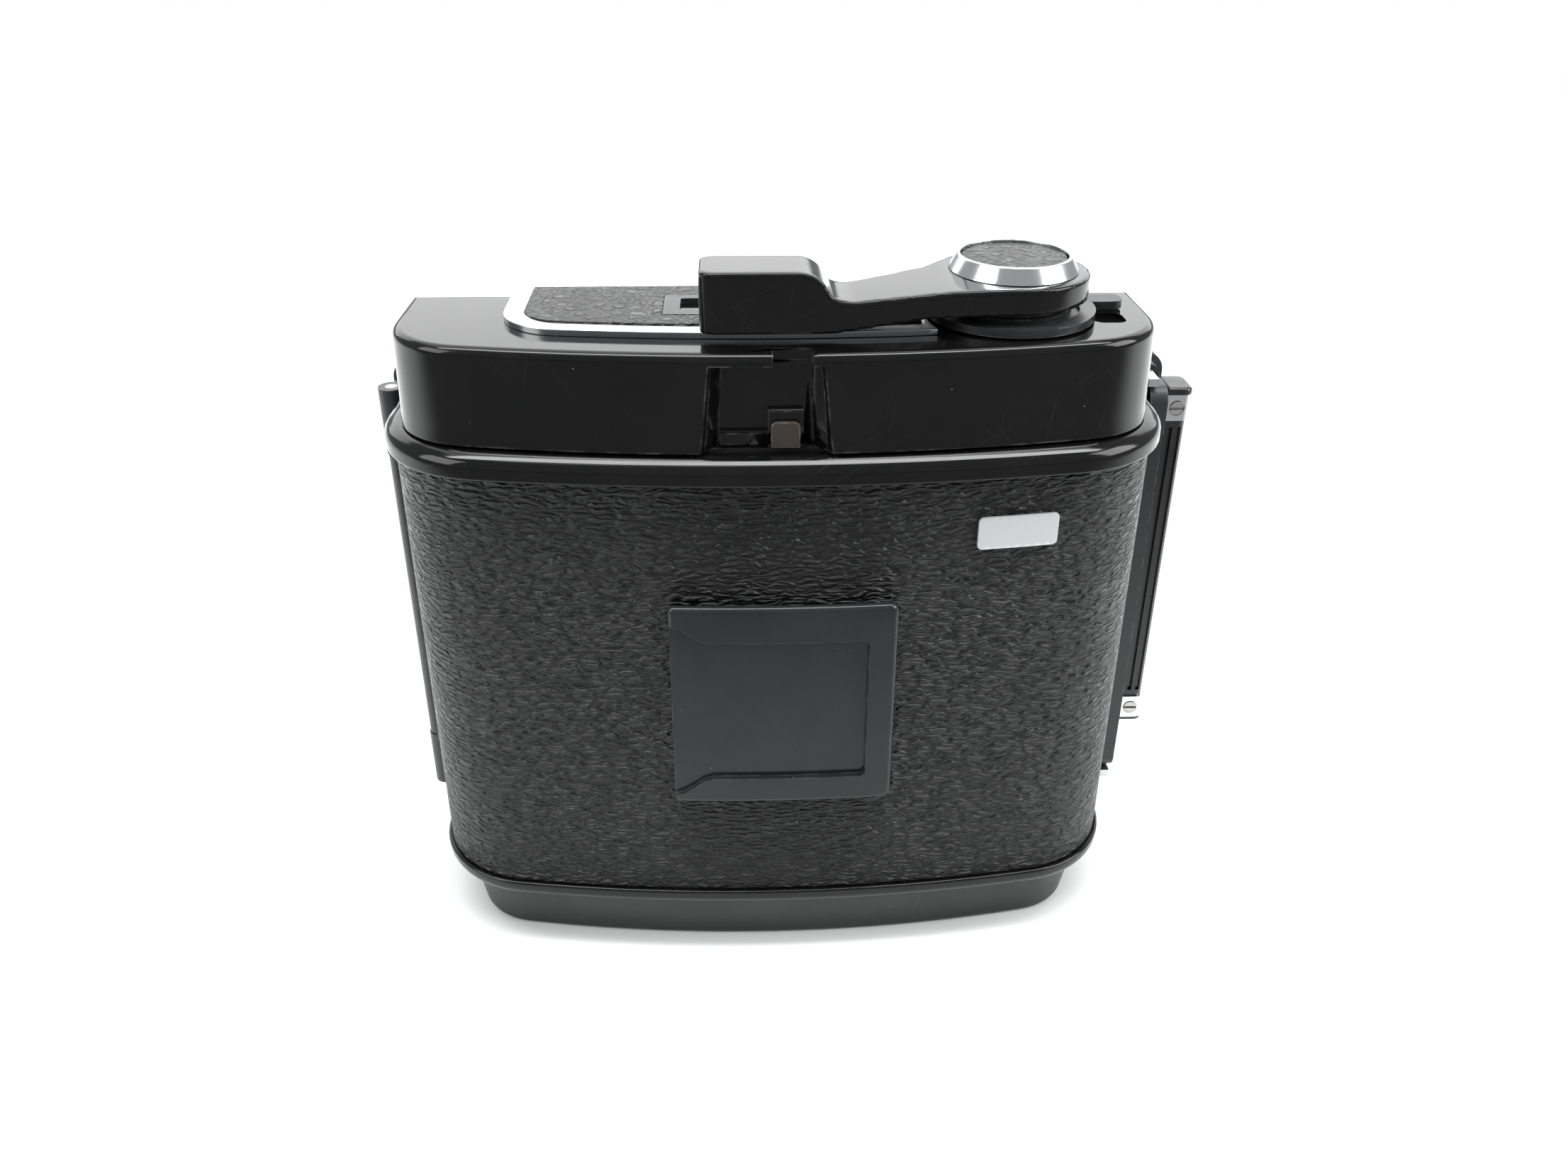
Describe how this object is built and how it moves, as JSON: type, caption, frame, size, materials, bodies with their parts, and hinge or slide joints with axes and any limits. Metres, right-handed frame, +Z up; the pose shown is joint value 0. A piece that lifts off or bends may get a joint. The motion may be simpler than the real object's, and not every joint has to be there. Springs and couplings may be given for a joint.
{
  "type": "roll-film magazine",
  "caption": "Roll-film magazine of a medium-format press camera: bowed hinged rear cover, film insert with wind lever, dark slide and camera mounting plate.",
  "frame": {"origin": "middle of the flat base face that the magazine stands on, below the middle of the rear cover", "axes": "+X along the film towards the dark slide's grip, +Y towards the camera body, +Z up along the spool axes"},
  "size_m": [0.1256, 0.0456, 0.1074],
  "materials": {
    "gloss_black": "glossy black enamel",
    "satin_black": "satin black enamel",
    "base_enamel": "satin dark grey enamel",
    "leatherette": "near-black wrinkle-grained leatherette",
    "memo_plastic": "satin blue-black plastic",
    "bright_chrome": "polished chrome",
    "satin_steel": "brushed steel, lightly worn",
    "dark_steel": "blackened steel",
    "brass_gear": "machined brass",
    "cast_alloy": "matt black-grey cast alloy",
    "plate_alloy": "machined alloy",
    "grip_plastic": "ribbed black plastic",
    "spool_plastic": "black moulded plastic",
    "felt": "black felt",
    "clear_window": "clear glass",
    "dial_white": "matt white dial"
  },
  "bodies": {
    "magazine": {"front_frame": "satin_black", "mount_plate": "satin_black", "plate_screws": "dark_steel", "slide_seals": "felt", "film_rails": "satin_steel", "cover_catches": "satin_steel", "hinge_knuckles": "gloss_black", "hinge_pin": "dark_steel", "insert_frame": "cast_alloy", "chamber_walls": "dark_steel", "roller_pins": "satin_steel", "supply_pin": "satin_steel", "top_cap": "gloss_black", "panel_trim": "bright_chrome", "panel_leather": "leatherette", "window_bezel": "satin_steel", "window_glass": "clear_window", "hub_collar": "satin_black", "return_spring": "satin_steel", "counter_post": "satin_steel", "latch_post": "satin_steel", "bottom_cap": "base_enamel", "base_screws": "dark_steel"},
    "cover": {"rear_cover": "gloss_black", "cover_leather": "leatherette", "cover_hinge_barrel": "gloss_black", "memo_holder": "memo_plastic", "name_plate": "bright_chrome"},
    "slide": {"dark_slide": "satin_steel", "slide_grip": "grip_plastic", "slide_bands": "bright_chrome", "slide_end_caps": "gloss_black", "slide_rivets": "satin_steel"},
    "wind": {"wind_lever": "gloss_black", "lever_ring": "bright_chrome", "lever_disc": "leatherette", "wind_shaft": "brass_gear"},
    "takeup": {"takeup_spool": "spool_plastic", "takeup_drive": "brass_gear"},
    "counter": {"counter_dial": "dial_white"},
    "exposure": {"exposure_lever": "bright_chrome"},
    "latch": {"latch_button": "satin_steel"},
    "press": {"pressure_plate": "dark_steel", "plate_springs": "satin_steel"},
    "roller_left": {"guide_roller_left": "plate_alloy"},
    "roller_right": {"guide_roller_right": "plate_alloy"},
    "stud_takeup": {"spool_stud_takeup": "satin_steel", "stud_spring_takeup": "satin_steel"},
    "stud_supply": {"spool_stud_supply": "satin_steel", "stud_spring_supply": "satin_steel"}
  },
  "joints": [
    {"name": "wind_lever_turn", "type": "hinge", "parent": "magazine", "child": "wind", "pos_m": [0.03159, 0.0008, 0.1], "axis": [0, 0, 1], "range_deg": [0, 180], "stiffness_Nm_per_rad": 0.015, "springref_deg": -20.05},
    {"name": "cover_swing", "type": "hinge", "parent": "magazine", "child": "cover", "pos_m": [-0.0572, 0.0172, 0.04635], "axis": [0, 0, -1], "range_deg": [0, 110]},
    {"name": "dark_slide_pull", "type": "slide", "parent": "magazine", "child": "slide", "axis": [1, 0, 0], "range_m": [0, 0.095]},
    {"name": "cover_latch_slide", "type": "slide", "parent": "magazine", "child": "latch", "axis": [-1, 0, 0], "range_m": [0, 0.0045], "stiffness_N_per_m": 150, "springref_m": -0.003},
    {"name": "exposure_lever_turn", "type": "hinge", "parent": "magazine", "child": "exposure", "pos_m": [0.03159, 0.0008, 0.0985], "axis": [0, 0, 1], "range_deg": [0, 20]},
    {"name": "takeup_spin", "type": "hinge", "parent": "magazine", "child": "takeup", "pos_m": [0.038, 0.00292, 0.05], "axis": [0, 0, 1], "range_deg": [-360, 0]},
    {"name": "counter_turn", "type": "hinge", "parent": "magazine", "child": "counter", "pos_m": [-0.0045, 0.0002, 0.095], "axis": [0, 0, 1], "range_deg": [-30, 0]},
    {"name": "pressure_plate_press", "type": "slide", "parent": "magazine", "child": "press", "axis": [0, -1, 0], "range_m": [0, 0.0007], "stiffness_N_per_m": 400, "springref_m": -0.002},
    {"name": "roller_left_spin", "type": "hinge", "parent": "magazine", "child": "roller_left", "pos_m": [-0.0456, 0.0152, 0.04635], "axis": [0, 0, 1], "continuous": true},
    {"name": "roller_right_spin", "type": "hinge", "parent": "magazine", "child": "roller_right", "pos_m": [0.0456, 0.0152, 0.04635], "axis": [0, 0, 1], "continuous": true},
    {"name": "stud_takeup_push", "type": "slide", "parent": "magazine", "child": "stud_takeup", "axis": [0, 0, -1], "range_m": [0, 0.0036], "stiffness_N_per_m": 250, "springref_m": -0.003, "deforming": ["stud_spring_takeup"]},
    {"name": "stud_supply_push", "type": "slide", "parent": "magazine", "child": "stud_supply", "axis": [0, 0, -1], "range_m": [0, 0.0036], "stiffness_N_per_m": 250, "springref_m": -0.003, "deforming": ["stud_spring_supply"]}
  ],
  "couplings": [
    {"joint": "takeup_spin", "follows": "wind_lever_turn", "ratio": -2},
    {"joint": "counter_turn", "follows": "wind_lever_turn", "ratio": -0.16667}
  ]
}
